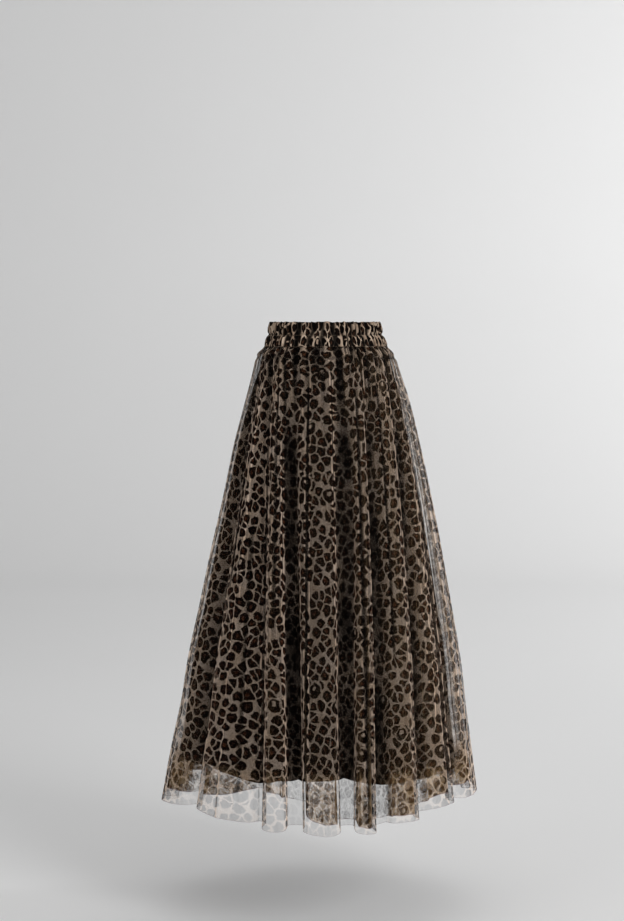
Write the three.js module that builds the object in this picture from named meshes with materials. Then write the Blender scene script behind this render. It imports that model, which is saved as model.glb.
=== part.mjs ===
// A long, full tulle skirt on a shirred elastic waistband, held open as it is worn.
//
// Two sheer tulle layers hang over a shorter, narrower lining, all from the waistband's lower edge.
// The waistband is a gathered casing with two elastic channels. Each layer has a front and a back,
// joined at the side seams, and every panel is a thin wall that stands in organ-pipe folds.
//
// Frame: millimetres, +Z up, the front faces -Y and +X is the viewer's right.
// The origin is the centre of the waist, level with the stitch line between the two channels.
// An azimuth is measured round the waist from the front, positive towards +X.
import * as THREE from "three";

// Driving sizes, in millimetres.
const BAND_TOP = 25;
const BAND_BOTTOM = -25;
const BAND_INNER_INSET = 8.2;
const SEAM_GAP = 0.3;
const TULLE_WALL = 1.1;
const LINING_WALL = 1.3;

// How many columns of faces a layer has for each gather at the waist.
const BAND_COLUMNS = 3;
const TULLE_COLUMNS = 3;
const LINING_COLUMNS = 1;

// Folds. They run straight from the waist to the level that all hems are near, but for a slow
// wander to the sides that differs from one ridge to the next.
const FOLD_SQUARENESS = 0.55;
const HEM_LEVEL = -950;
const WAIST_SPREAD = 128;
const HEM_SPREAD = 326;
const WANDER = { degrees: 0.8, length: 310, phase: 2.1 };

// The inner tulle's ridges are this much narrower on each side, so that they nest in the outer's.
const NEST_DEGREES = 1.3;

// The lining swells into ridges that are wider than the first of these and fully at the second.
const SWELL_DEGREES = { least: 7, most: 24 };

// How far the skirt reaches from the centre of the waist at each height.
const REACH = [
  { z: 25, left: 114, right: 115, front: 88, back: 88 },
  { z: 0, left: 117, right: 120, front: 91, back: 91 },
  { z: -25, left: 125, right: 130, front: 99, back: 99 },
  { z: -44, left: 140, right: 144, front: 112, back: 112 },
  { z: -75, left: 148, right: 155, front: 121, back: 121 },
  { z: -137, left: 164, right: 174, front: 140, back: 142 },
  { z: -220, left: 186, right: 195, front: 166, back: 168 },
  { z: -343, left: 212, right: 223, front: 200, back: 200 },
  { z: -426, left: 231, right: 240, front: 222, back: 222 },
  { z: -550, left: 257, right: 263, front: 251, back: 250 },
  { z: -673, left: 284, right: 284, front: 278, back: 276 },
  { z: -756, left: 298, right: 294, front: 292, back: 290 },
  { z: -838, left: 316, right: 306, front: 305, back: 302 },
  { z: -966, left: 342, right: 324, front: 325, back: 322 },
];

// How deep the folds and gathers run at each height, the air between layers, and the lining's swell.
// sink is how far the outer tulle's crests lie inside the reach, where it tucks under the band.
const DRAPE = [
  { z: -25, sink: 2.2, fold: 0, outerGather: 1.4, gap: 0.4, innerGather: 0.3, swell: 0 },
  { z: -36, sink: 0.6, fold: 1, outerGather: 3.0, gap: 1.0, innerGather: 1.5, swell: 0 },
  { z: -50, sink: 0, fold: 2.5, outerGather: 3.4, gap: 1.5, innerGather: 2.0, swell: 0 },
  { z: -110, sink: 0, fold: 7, outerGather: 2.6, gap: 2.0, innerGather: 1.5, swell: 2 },
  { z: -220, sink: 0, fold: 11, outerGather: 1.2, gap: 2.5, innerGather: 1.5, swell: 5 },
  { z: -343, sink: 0, fold: 16, outerGather: 0.4, gap: 3.0, innerGather: 2.0, swell: 8 },
  { z: -550, sink: 0, fold: 24, outerGather: 0, gap: 4.0, innerGather: 3.0, swell: 12 },
  { z: -756, sink: 0, fold: 31, outerGather: 0, gap: 4.0, innerGather: 4.0, swell: 15 },
  { z: -966, sink: 0, fold: 38, outerGather: 0, gap: 4.0, innerGather: 5.0, swell: 17 },
];

// The waistband's outside: how far each row of its section lies inside the reach, and its gathers.
const BAND_ROWS = [
  { z: BAND_TOP, inset: 1.6, gather: 1.6 },
  { z: BAND_TOP / 2, inset: 0, gather: 3.0 },
  { z: 0, inset: 3.2, gather: 1.4 },
  { z: BAND_BOTTOM / 2, inset: 0, gather: 3.0 },
  { z: BAND_BOTTOM, inset: 1.8, gather: 1.6 },
];

// The ridges of the tulle. waist is the azimuth at the waist of the valley on a ridge's left, and
// gathers is how many gathers the ridge draws up into there. left and right are the azimuths of its
// edges at the hem, depth its share of the full depth, and curl is over 1 where its sides turn
// under it. The front has 8 ridges and the back 9.
const FOLDS = [
  { waist: -90, gathers: 4, left: -88, right: -58, depth: 1.0, curl: 0.7 },
  { waist: -70, gathers: 4, left: -53, right: -26, depth: 0.8, curl: 0.5 },
  { waist: -51.5, gathers: 4, left: -22.5, right: -14, depth: 1.0, curl: 1.4 },
  { waist: -33, gathers: 8, left: -7.5, right: 5.5, depth: 1.0, curl: 1.6 },
  { waist: 15, gathers: 4, left: 11.2, right: 18.8, depth: 1.0, curl: 1.5 },
  { waist: 34, gathers: 5, left: 24, right: 36.5, depth: 0.85, curl: 1.2 },
  { waist: 62, gathers: 3, left: 41, right: 57.5, depth: 0.9, curl: 1.0 },
  { waist: 76, gathers: 3, left: 63, right: 87, depth: 1.0, curl: 0.8 },
  { waist: 90, gathers: 4, left: 95, right: 108, depth: 0.95, curl: 1.1 },
  { waist: 110, gathers: 4, left: 116, right: 132, depth: 0.9, curl: 0.9 },
  { waist: 131, gathers: 3, left: 139, right: 150, depth: 1.0, curl: 1.4 },
  { waist: 148, gathers: 4, left: 158, right: 171, depth: 1.0, curl: 1.3 },
  { waist: 168, gathers: 5, left: 178, right: 189, depth: 0.9, curl: 1.5 },
  { waist: 192, gathers: 4, left: 197, right: 213, depth: 1.0, curl: 1.1 },
  { waist: 213, gathers: 4, left: 220, right: 231, depth: 0.95, curl: 1.4 },
  { waist: 232, gathers: 4, left: 238, right: 252, depth: 0.9, curl: 1.0 },
  { waist: 252, gathers: 4, left: 258, right: 267, depth: 1.0, curl: 1.0 },
];
const FRONT_FOLDS = 8;

// Where each layer's hem hangs, by azimuth. The first and last rows are the same place.
const HEMS = [
  { azimuth: -90, outer: -958, inner: -933, lining: -864 },
  { azimuth: -70, outer: -944, inner: -920, lining: -862 },
  { azimuth: -55, outer: -937, inner: -912, lining: -862 },
  { azimuth: -39, outer: -947, inner: -903, lining: -868 },
  { azimuth: -24, outer: -949, inner: -886, lining: -878 },
  { azimuth: -18, outer: -960, inner: -890, lining: -872 },
  { azimuth: -10.5, outer: -951, inner: -905, lining: -871 },
  { azimuth: 0, outer: -965, inner: -940, lining: -869 },
  { azimuth: 8.5, outer: -951, inner: -938, lining: -867 },
  { azimuth: 15, outer: -963, inner: -945, lining: -874 },
  { azimuth: 25, outer: -948, inner: -931, lining: -881 },
  { azimuth: 36, outer: -947, inner: -924, lining: -881 },
  { azimuth: 43, outer: -931, inner: -905, lining: -880 },
  { azimuth: 75, outer: -928, inner: -903, lining: -877 },
  { azimuth: 92, outer: -936, inner: -914, lining: -876 },
  { azimuth: 135, outer: -948, inner: -925, lining: -874 },
  { azimuth: 180, outer: -944, inner: -920, lining: -878 },
  { azimuth: 228, outer: -952, inner: -927, lining: -872 },
  { azimuth: 270, outer: -958, inner: -933, lining: -864 },
];

// The heights of the sections above the hem. The inner tulle and the lining share theirs, so that
// their flat faces keep apart.
const OUTER_ROWS = [BAND_BOTTOM - SEAM_GAP, -36, -50, -110, -240, -480];
const UNDER_ROWS = [BAND_BOTTOM - SEAM_GAP, -50, -150, -310, -550];

// The step in fold number over which a surface's direction is taken.
const TANGENT_STEP = 0.001;

// Colours and finishes, as a plain stand-in for the printed net and the black lining.
const BAND_FINISH = { color: 0x3a2d24, roughness: 0.8, metalness: 0 };
const OUTER_FINISH = { color: 0x8d7a68, roughness: 0.75, metalness: 0 };
const INNER_FINISH = { color: 0x77644f, roughness: 0.75, metalness: 0 };
const LINING_FINISH = { color: 0x1b1816, roughness: 0.6, metalness: 0 };

const clamp = (value, low, high) => Math.min(high, Math.max(low, value));
const smooth = (share) => share * share * (3 - 2 * share);
const radians = (degrees) => (degrees * Math.PI) / 180;

// 0 at the waist and 1 at the hem. Azimuths that blend by it make folds that run straight down
// a skirt that widens evenly.
function fanned(z) {
  const share = clamp((BAND_BOTTOM - z) / (BAND_BOTTOM - HEM_LEVEL), 0, 1);
  return (HEM_SPREAD * share) / (WAIST_SPREAD * (1 - share) + HEM_SPREAD * share);
}

// A smooth curve through the rows of a table, which never swings past them.
function curve(table, key, column) {
  const rows = [...table].sort((a, b) => a[key] - b[key]);
  const slopes = rows.slice(1).map((row, i) => (row[column] - rows[i][column]) / (row[key] - rows[i][key]));
  const tangent = (i) => {
    const before = slopes[i - 1];
    const after = slopes[i];
    if (before === undefined || after === undefined) return before ?? after;
    return before * after <= 0 ? 0 : (2 * before * after) / (before + after);
  };
  const tangents = rows.map((row, i) => tangent(i));
  return (at) => {
    const place = clamp(at, rows[0][key], rows[rows.length - 1][key]);
    let i = 0;
    while (i < rows.length - 2 && place > rows[i + 1][key]) i += 1;
    const span = rows[i + 1][key] - rows[i][key];
    const u = (place - rows[i][key]) / span;
    const rise = smooth(u);
    return (
      rows[i][column] * (1 - rise) +
      rows[i + 1][column] * rise +
      span * tangents[i] * u * (1 - u) * (1 - u) -
      span * tangents[i + 1] * u * u * (1 - u)
    );
  };
}

const curves = (table, key, columns) =>
  Object.fromEntries(columns.map((column) => [column, curve(table, key, column)]));

const reach = curves(REACH, "z", ["left", "right", "front", "back"]);
const drape = curves(DRAPE, "z", ["sink", "fold", "outerGather", "gap", "innerGather", "swell"]);
const hems = curves(HEMS, "azimuth", ["outer", "inner", "lining"]);

// The point at an azimuth and height that lies inset inside the reach.
function placed(azimuth, z, inset) {
  const side = Math.sin(radians(azimuth));
  const ahead = Math.cos(radians(azimuth));
  const halfWidth = (side < 0 ? reach.left(z) : reach.right(z)) - inset;
  const halfDepth = (ahead < 0 ? reach.back(z) : reach.front(z)) - inset;
  return new THREE.Vector3(halfWidth * side, -halfDepth * ahead, z);
}

// The edges of ridge number i, whose neighbours go on round the waist past the first and last.
// nest is how far both edges are drawn in.
function ridgeEdges(i, nest) {
  const fold = FOLDS[(i + FOLDS.length) % FOLDS.length];
  const turn = i < 0 ? -360 : i < FOLDS.length ? 0 : 360;
  return { left: fold.left + turn + nest, right: fold.right + turn - nest };
}

// Where fold number t lies, at each height between what the table says of the waist and the hem.
// A fold number's whole part counts ridges from the left side seam.
function azimuthOf(nest) {
  const hemKnots = [];
  for (let i = -1; i <= FOLDS.length; i += 1) {
    const { left, right } = ridgeEdges(i, nest);
    hemKnots.push({ t: i + 0.25, azimuth: left }, { t: i + 0.75, azimuth: right });
  }
  const waistKnots = FOLDS.map(({ waist }, t) => ({ t, azimuth: waist }));
  waistKnots.push({ t: FOLDS.length, azimuth: FOLDS[0].waist + 360 });
  const atHem = curve(hemKnots, "t", "azimuth");
  const atWaist = curve(waistKnots, "t", "azimuth");
  return (t, z) => {
    const fan = fanned(z);
    const ridge = Math.floor(t);
    const sway = WANDER.degrees * Math.sin(z / WANDER.length + WANDER.phase * ridge);
    return atWaist(t) * (1 - fan) + (atHem(t) + sway * Math.sin(Math.PI * (t - ridge))) * fan;
  };
}

// How far a ridge's sides turn under it, in degrees of azimuth.
function curlAt(t, z, nest) {
  const i = clamp(Math.floor(t), 0, FOLDS.length - 1);
  const phase = t - i;
  const { left, right } = ridgeEdges(i, nest);
  const valley = phase < 0.5 ? left - ridgeEdges(i - 1, nest).right : ridgeEdges(i + 1, nest).left - right;
  const most = (FOLDS[i].curl * Math.min(right - left, valley)) / (2 * Math.PI);
  return fanned(z) * most * Math.sin(4 * Math.PI * phase);
}

// 1 in the valley between two ridges and 0 on a ridge, with flat tops and steep sides.
function valleyShare(t) {
  const wave = Math.cos(2 * Math.PI * t);
  const squared = (wave * Math.hypot(1, FOLD_SQUARENESS)) / Math.hypot(wave, FOLD_SQUARENESS);
  return (1 + squared) / 2;
}

// 1 at the bottom of a gather and 0 on its crest.
function gatherShare(t) {
  const { gathers } = FOLDS[clamp(Math.floor(t), 0, FOLDS.length - 1)];
  return (1 + Math.cos(2 * Math.PI * gathers * t)) / 2;
}

// A tulle layer's surface as a function of fold number t and height. start is the inset of its
// crests, gather the depth of its gathers and nest how far it draws in to nest in another layer.
// Lower down, the gathers fade out on the steep sides of the ridges.
function tulleSurface({ start, gather, nest }) {
  const azimuth = azimuthOf(nest);
  return (t, z) => {
    const share = FOLDS[clamp(Math.floor(t), 0, FOLDS.length - 1)].depth;
    const fold = drape.fold(z) * (1 - share * (1 - valleyShare(t)));
    const kept = 1 - fanned(z) * Math.sin(2 * Math.PI * t) ** 2;
    const inset = start(z) + fold + gather(z) * kept * gatherShare(t);
    return placed(azimuth(t, z) + curlAt(t, z, nest), z, inset);
  };
}

const innerStart = (z) => drape.sink(z) + drape.outerGather(z) + TULLE_WALL + drape.gap(z);
const liningStart = (z) =>
  innerStart(z) + drape.fold(z) + drape.innerGather(z) + TULLE_WALL + drape.gap(z);

const outerSurface = tulleSurface({ start: drape.sink, gather: drape.outerGather, nest: 0 });
const innerSurface = tulleSurface({ start: innerStart, gather: drape.innerGather, nest: NEST_DEGREES });

// The share of its swell that the lining has at fold number t: none in a valley between ridges,
// and more in a wide ridge than in a narrow one.
function swellCurve() {
  const knots = [{ t: 0, share: 0 }];
  FOLDS.forEach(({ left, right }, i) => {
    const spare = right - left - SWELL_DEGREES.least;
    const share = clamp(spare / (SWELL_DEGREES.most - SWELL_DEGREES.least), 0, 1);
    knots.push({ t: i + 0.5, share }, { t: i + 1, share: 0 });
  });
  return curve(knots, "t", "share");
}

const swellShare = swellCurve();
const straightAzimuth = azimuthOf(0);

// The lining is an A-line tube with soft waves, which swells into the wide ridges.
function liningSurface(t, z) {
  return placed(straightAzimuth(t, z), z, liningStart(z) - drape.swell(z) * swellShare(t));
}

// The waistband's outside at one of its rows, whose gathers run on into the outer tulle.
function bandSurface(row) {
  return (t) => {
    const inset = row.inset + row.gather * gatherShare(t);
    return placed(straightAzimuth(t, BAND_TOP), row.z, inset);
  };
}

// The horizontal direction along a surface at t, towards larger azimuths.
function tangentOf(point, t) {
  const along = point(t + TANGENT_STEP).sub(point(t - TANGENT_STEP));
  return along.setZ(0).normalize();
}

// The fold numbers of the columns between two whole ones, with so many to a gather.
function stations({ from, to }, columnsPerGather) {
  const list = [];
  for (let i = from; i < to; i += 1) {
    const columns = FOLDS[i].gathers * columnsPerGather;
    for (let k = 0; k < columns; k += 1) list.push(i + k / columns);
  }
  return [...list, to];
}

// A closed solid swept through fold numbers. profile(t) gives a section as a closed loop of points,
// outside rows downwards first and then inside rows upwards, and both ends are capped.
function sweep({ along, profile, outsideRows }) {
  const points = [];
  const triangles = [];
  const columns = along.length - 1;
  const loops = along.map((t, i) => {
    const end = i === 0 ? 1 : i === columns ? -1 : 0;
    return profile(t, (end * SEAM_GAP) / 2).map((point) => points.push(point) - 1);
  });
  for (let i = 0; i < columns; i += 1) {
    const here = loops[i];
    const next = loops[i + 1];
    here.forEach((a, k) => {
      const down = (k + 1) % here.length;
      triangles.push([a, here[down], next[down]], [a, next[down], next[k]]);
    });
  }
  for (const [loop, turned] of [[loops[0], true], [loops[columns], false]]) {
    for (const [a, b, c] of capTriangles(loop, points, outsideRows)) {
      triangles.push(turned ? [a, c, b] : [a, b, c]);
    }
  }
  const geometry = new THREE.BufferGeometry();
  const coordinates = points.flatMap((point) => point.toArray());
  geometry.setAttribute("position", new THREE.Float32BufferAttribute(coordinates, 3));
  geometry.setIndex(triangles.flat());
  geometry.computeVertexNormals();
  return geometry;
}

// Fills one end's loop by zipping its outside rows to its inside rows, from the top down.
function capTriangles(loop, points, outsideRows) {
  const outside = loop.slice(0, outsideRows);
  const inside = loop.slice(outsideRows).reverse();
  const filled = [];
  let o = 0;
  let n = 0;
  while (o < outside.length - 1 || n < inside.length - 1) {
    const outsideNext = o < outside.length - 1 ? points[outside[o + 1]].z : -Infinity;
    const insideNext = n < inside.length - 1 ? points[inside[n + 1]].z : -Infinity;
    if (outsideNext >= insideNext) {
      filled.push([outside[o], outside[o + 1], inside[n]]);
      o += 1;
    } else {
      filled.push([outside[o], inside[n + 1], inside[n]]);
      n += 1;
    }
  }
  return filled;
}

// A cloth panel through fold numbers: a wall of even thickness that follows a surface.
function clothPanel({ surface, rows, hem, wall, along }) {
  const profile = (t, shift) => {
    const heights = [...rows, hem(straightAzimuth(t, HEM_LEVEL))];
    const outside = heights.map((z) => {
      const point = (at) => surface(at, z);
      return point(t).addScaledVector(tangentOf(point, t), shift);
    });
    const inside = heights.map((z, i) => {
      const tangent = tangentOf((at) => surface(at, z), t);
      return outside[i].clone().add(new THREE.Vector3(-tangent.y * wall, tangent.x * wall, 0));
    });
    return [...outside, ...inside.reverse()];
  };
  return sweep({ along, profile, outsideRows: rows.length + 1 });
}

// Half of the waistband: a puffed and gathered outside and a plain inside.
function bandPanel(along) {
  const outsides = BAND_ROWS.map(bandSurface);
  const inner = (z) => (t) => placed(straightAzimuth(t, BAND_TOP), z, BAND_INNER_INSET);
  const profile = (t, shift) =>
    [...outsides, inner(BAND_BOTTOM), inner(BAND_TOP)].map((point) =>
      point(t).addScaledVector(tangentOf(point, t), shift),
    );
  return sweep({ along, profile, outsideRows: BAND_ROWS.length });
}

function piece(name, geometry, finish) {
  const mesh = new THREE.Mesh(geometry, new THREE.MeshStandardMaterial(finish));
  mesh.name = name;
  return mesh;
}

// The two halves of every layer, with their first and last fold numbers.
const HALVES = [
  { name: "front", from: 0, to: FRONT_FOLDS },
  { name: "back", from: FRONT_FOLDS, to: FOLDS.length },
];

function waistband() {
  return HALVES.map((half) =>
    piece(`waistband_${half.name}`, bandPanel(stations(half, BAND_COLUMNS)), BAND_FINISH),
  );
}

function layer({ name, surface, columnsPerGather, rows, hem, wall, finish }) {
  return HALVES.map((half) => {
    const along = stations(half, columnsPerGather);
    return piece(`${name}_${half.name}`, clothPanel({ surface, rows, hem, wall, along }), finish);
  });
}

const skirt = new THREE.Group();
skirt.add(
  ...waistband(),
  ...layer({
    name: "outer_tulle",
    surface: outerSurface,
    columnsPerGather: TULLE_COLUMNS,
    rows: OUTER_ROWS,
    hem: hems.outer,
    wall: TULLE_WALL,
    finish: OUTER_FINISH,
  }),
  ...layer({
    name: "inner_tulle",
    surface: innerSurface,
    columnsPerGather: TULLE_COLUMNS,
    rows: UNDER_ROWS,
    hem: hems.inner,
    wall: TULLE_WALL,
    finish: INNER_FINISH,
  }),
  ...layer({
    name: "lining",
    surface: liningSurface,
    columnsPerGather: LINING_COLUMNS,
    rows: UNDER_ROWS,
    hem: hems.lining,
    wall: LINING_WALL,
    finish: LINING_FINISH,
  }),
);

export default skirt;
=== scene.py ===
"""A long printed tulle skirt on a shirred elastic waistband, dressed over its solids.

Metres, +Z up, the front faces -Y. The drape is worked out in millimetres with the tables that
shaped the solids, and every sheet of cloth is then laid over it at a finer pitch.
"""

import math

import bpy
import numpy as np
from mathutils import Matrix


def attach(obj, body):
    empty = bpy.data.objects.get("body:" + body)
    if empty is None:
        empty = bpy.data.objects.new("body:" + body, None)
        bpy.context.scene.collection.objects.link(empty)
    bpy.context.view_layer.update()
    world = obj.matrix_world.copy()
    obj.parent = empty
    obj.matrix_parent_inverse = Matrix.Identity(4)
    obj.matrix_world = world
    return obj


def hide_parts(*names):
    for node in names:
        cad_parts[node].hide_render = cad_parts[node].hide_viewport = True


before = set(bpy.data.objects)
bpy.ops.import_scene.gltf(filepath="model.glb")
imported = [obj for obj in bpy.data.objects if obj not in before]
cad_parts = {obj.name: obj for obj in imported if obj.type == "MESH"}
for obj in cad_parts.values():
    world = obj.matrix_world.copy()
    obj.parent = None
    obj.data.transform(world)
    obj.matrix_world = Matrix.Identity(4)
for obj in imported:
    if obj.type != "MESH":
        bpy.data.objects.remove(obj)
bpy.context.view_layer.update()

MM = 0.001

# The camera, at the photograph's viewpoint

CAMERA_PLACE = (-0.0257, -4.5285, 0.0068)
CAMERA_TILT = 3.35
CAMERA_LENS = 86.48

# The floor lies well below the hem.
FLOOR_LEVEL = -1.17


def add_camera():
    """The camera looks level at the skirt, but for a slight tilt down."""
    tilt = math.radians(90 - CAMERA_TILT)
    bpy.ops.object.camera_add(location=CAMERA_PLACE, rotation=(tilt, 0, 0))
    camera = bpy.context.object
    camera.data.lens = CAMERA_LENS
    camera.data.sensor_width = 36
    bpy.context.scene.camera = camera


# The drape: the tables of the solids, in millimetres and degrees

BAND_TOP = 25
BAND_BOTTOM = -25
BAND_INNER_INSET = 8.2
TULLE_WALL = 1.1
FOLD_SQUARENESS = 0.55
HEM_LEVEL = -950
WAIST_SPREAD = 128
HEM_SPREAD = 326
WANDER_DEGREES = 0.8
WANDER_LENGTH = 310
WANDER_PHASE = 2.1
NEST_DEGREES = 1.3
SWELL_LEAST = 7
SWELL_MOST = 24

# How far each layer of cloth keeps from the one outside it.
INNER_CLEARANCE = 1.0
LINING_CLEARANCE = 2.0

# The row of gathering below the waistband, and the half width of the painted shade along it.
GATHER_ROW = -47
ROW_SHADE_HALF_WIDTH = 2.6

# A pressed crease's edge, where more net lies and which so also stands as a painted highlight line:
# its width, and how strongly it shows.
PRESSED_WIDTH = 1.25
PRESSED_STRENGTH = 1.25

# How much painted shade a crease's bottom may take, and how wide it spreads against its opening.
CREASE_SHADE = 0.95
CREASE_SHADE_SPREAD = 1.05

# The painted shade that the sides of a valley take against its bottom.
SLOPE_SHADE = 0.55

# How far the skirt reaches from the centre: z, left, right, front, back.
REACH = (
    (25, 114, 115, 88, 88),
    (0, 117, 120, 91, 91),
    (-25, 125, 130, 99, 99),
    (-44, 140, 144, 112, 112),
    (-75, 148, 155, 121, 121),
    (-137, 164, 174, 140, 142),
    (-220, 186, 195, 166, 168),
    (-343, 212, 223, 200, 200),
    (-426, 231, 240, 222, 222),
    (-550, 257, 263, 251, 250),
    (-673, 284, 284, 278, 276),
    (-756, 298, 294, 292, 290),
    (-838, 316, 306, 305, 302),
    (-966, 342, 324, 325, 322),
)

# z, the crests' sink inside the reach, fold depth, outer gathers, gap, inner gathers, lining swell.
DRAPE = (
    (-25, 2.2, 0, 1.4, 0.4, 0.3, 0),
    (-36, 0.6, 1, 3.0, 1.0, 1.5, 0),
    (-50, 0, 2.5, 3.4, 1.5, 2.0, 0),
    (-110, 0, 7, 2.6, 2.0, 1.5, 2),
    (-220, 0, 11, 1.2, 2.5, 1.5, 5),
    (-343, 0, 16, 0.4, 3.0, 2.0, 8),
    (-550, 0, 24, 0, 4.0, 3.0, 12),
    (-756, 0, 31, 0, 4.0, 4.0, 15),
    (-966, 0, 38, 0, 4.0, 5.0, 17),
)

# Ridges of the tulle: waist azimuth, gathers, left and right edge at the hem, depth, curl.
FOLDS = (
    (-90, 4, -88, -58, 1.0, 0.7),
    (-70, 4, -53, -26, 0.8, 0.5),
    (-51.5, 4, -22.5, -14, 1.0, 1.4),
    (-33, 8, -7.5, 5.5, 1.0, 1.6),
    (15, 4, 11.2, 18.8, 1.0, 1.5),
    (34, 5, 24, 36.5, 0.85, 1.2),
    (62, 3, 41, 57.5, 0.9, 1.0),
    (76, 3, 63, 87, 1.0, 0.8),
    (90, 4, 95, 108, 0.95, 1.1),
    (110, 4, 116, 132, 0.9, 0.9),
    (131, 3, 139, 150, 1.0, 1.4),
    (148, 4, 158, 171, 1.0, 1.3),
    (168, 5, 178, 189, 0.9, 1.5),
    (192, 4, 197, 213, 1.0, 1.1),
    (213, 4, 220, 231, 0.95, 1.4),
    (232, 4, 238, 252, 0.9, 1.0),
    (252, 4, 258, 267, 1.0, 1.0),
)
RIDGES = len(FOLDS)
FRONT_RIDGES = 8

# Where the hems hang: azimuth, outer tulle, inner tulle, lining.
HEMS = (
    (-90, -958, -933, -864),
    (-70, -944, -920, -862),
    (-55, -937, -912, -862),
    (-39, -947, -903, -868),
    (-24, -949, -886, -878),
    (-18, -960, -890, -872),
    (-10.5, -951, -905, -871),
    (0, -965, -946, -869),
    (8.5, -951, -941, -867),
    (15, -963, -954, -874),
    (25, -948, -938, -881),
    (36, -947, -937, -881),
    (43, -931, -914, -880),
    (75, -928, -903, -877),
    (92, -936, -914, -876),
    (135, -948, -925, -874),
    (180, -944, -920, -878),
    (228, -952, -927, -872),
    (270, -958, -933, -864),
)

# The waistband's section: z, inset inside the reach, gather depth.
BAND_ROWS = (
    (25, 2.2, 3.4),
    (22, 0.6, 5.4),
    (13, -0.8, 6.6),
    (4.5, 0.6, 5.6),
    (0.6, 3.4, 2.6),
    (-1.2, 3.4, 2.6),
    (-5, 0.5, 5.6),
    (-13, -0.9, 6.6),
    (-21, 0.2, 5.2),
    (-25, 2.4, 3.0),
)


def smooth(share):
    """Eases from 0 to 1."""
    share = np.clip(share, 0.0, 1.0)
    return share * share * (3 - 2 * share)


def curve(places, values):
    """A smooth curve through values at places, which never swings past them."""
    order = np.argsort(places)
    x = np.asarray(places, float)[order]
    y = np.asarray(values, float)[order]
    slope = np.diff(y) / np.diff(x)
    product = slope[:-1] * slope[1:]
    total = slope[:-1] + slope[1:]
    inner = np.where(product <= 0, 0.0, 2 * product / np.where(product <= 0, 1.0, total))
    tangent = np.concatenate([slope[:1], inner, slope[-1:]])

    def at(place):
        place = np.clip(place, x[0], x[-1])
        i = np.clip(np.searchsorted(x, place, side="left") - 1, 0, len(x) - 2)
        span = x[i + 1] - x[i]
        u = (place - x[i]) / span
        rise = u * u * (3 - 2 * u)
        start = y[i] * (1 - rise) + span * tangent[i] * u * (1 - u) * (1 - u)
        end = y[i + 1] * rise - span * tangent[i + 1] * u * u * (1 - u)
        return start + end

    return at


def column(table, index):
    """The curve of one column of a table over its first."""
    return curve([row[0] for row in table], [row[index] for row in table])


reach_left, reach_right, reach_front, reach_back = (column(REACH, i) for i in range(1, 5))
crest_sink, fold_depth, outer_gather, layer_gap, inner_gather, lining_swell = (
    column(DRAPE, i) for i in range(1, 7)
)
outer_hem, inner_hem, lining_hem = (column(HEMS, i) for i in range(1, 4))
band_inset, band_gather = (column(BAND_ROWS, i) for i in range(1, 3))


def fanned(z):
    """0 at the waist and 1 at the hem, for folds that run straight down as the skirt widens."""
    share = np.clip((BAND_BOTTOM - z) / (BAND_BOTTOM - HEM_LEVEL), 0.0, 1.0)
    return HEM_SPREAD * share / (WAIST_SPREAD * (1 - share) + HEM_SPREAD * share)


def placed(azimuth, z, inset):
    """The points at azimuths and heights that lie inset inside the reach."""
    side = np.sin(np.radians(azimuth))
    ahead = np.cos(np.radians(azimuth))
    half_width = np.where(side < 0, reach_left(z), reach_right(z)) - inset
    half_depth = np.where(ahead < 0, reach_back(z), reach_front(z)) - inset
    return np.stack([half_width * side, -half_depth * ahead, z + 0 * azimuth], -1)


def ridge_edges(i, nest):
    """The edges at the hem of ridges whose numbers may run past the first and last."""
    i = np.asarray(i)
    turn = 360 * np.floor_divide(i, RIDGES)
    left = np.array([fold[2] for fold in FOLDS])[i % RIDGES]
    right = np.array([fold[3] for fold in FOLDS])[i % RIDGES]
    return left + turn + nest, right + turn - nest


def azimuth_of(nest):
    """Where fold number t lies at each height. Whole fold numbers are the valleys."""
    hem_places = []
    hem_azimuths = []
    for i in range(-1, RIDGES + 1):
        left, right = ridge_edges(i, nest)
        hem_places += [i + 0.25, i + 0.75]
        hem_azimuths += [float(left), float(right)]
    waist_azimuths = [fold[0] for fold in FOLDS] + [FOLDS[0][0] + 360]
    at_hem = curve(hem_places, hem_azimuths)
    at_waist = curve(range(RIDGES + 1), waist_azimuths)

    def azimuth(t, z):
        fan = fanned(z)
        ridge = np.floor(t)
        sway = WANDER_DEGREES * np.sin(z / WANDER_LENGTH + WANDER_PHASE * ridge)
        low = at_hem(t) + sway * np.sin(np.pi * (t - ridge))
        return at_waist(t) * (1 - fan) + low * fan

    return azimuth


def fold_value(t, index):
    """A column of FOLDS for the ridge that fold number t is in."""
    values = np.array([fold[index] for fold in FOLDS], float)
    return values[np.clip(np.floor(t).astype(int), 0, RIDGES - 1)]


def curl_at(t, z, nest):
    """How far a ridge's sides turn under it, in degrees of azimuth."""
    i = np.clip(np.floor(t).astype(int), 0, RIDGES - 1)
    phase = t - i
    left, right = ridge_edges(i, nest)
    before = left - ridge_edges(i - 1, nest)[1]
    after = ridge_edges(i + 1, nest)[0] - right
    valley = np.where(phase < 0.5, before, after)
    most = fold_value(t, 5) * np.minimum(right - left, valley) / (2 * np.pi)
    return fanned(z) * most * np.sin(4 * np.pi * phase)


def valley_share(t):
    """1 in the valley between two ridges and 0 on a ridge, with flat tops and steep sides."""
    wave = np.cos(2 * np.pi * t)
    squared = wave * math.hypot(1, FOLD_SQUARENESS) / np.hypot(wave, FOLD_SQUARENESS)
    return (1 + squared) / 2


def gather_share(t):
    """1 at the bottom of a gather and 0 on its crest."""
    return (1 + np.cos(2 * np.pi * fold_value(t, 1) * t)) / 2


straight_azimuth = azimuth_of(0)
nested_azimuth = azimuth_of(NEST_DEGREES)


def inner_start(z):
    return crest_sink(z) + outer_gather(z) + TULLE_WALL + layer_gap(z)


def lining_start(z):
    return inner_start(z) + fold_depth(z) + inner_gather(z) + TULLE_WALL + layer_gap(z)


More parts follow.
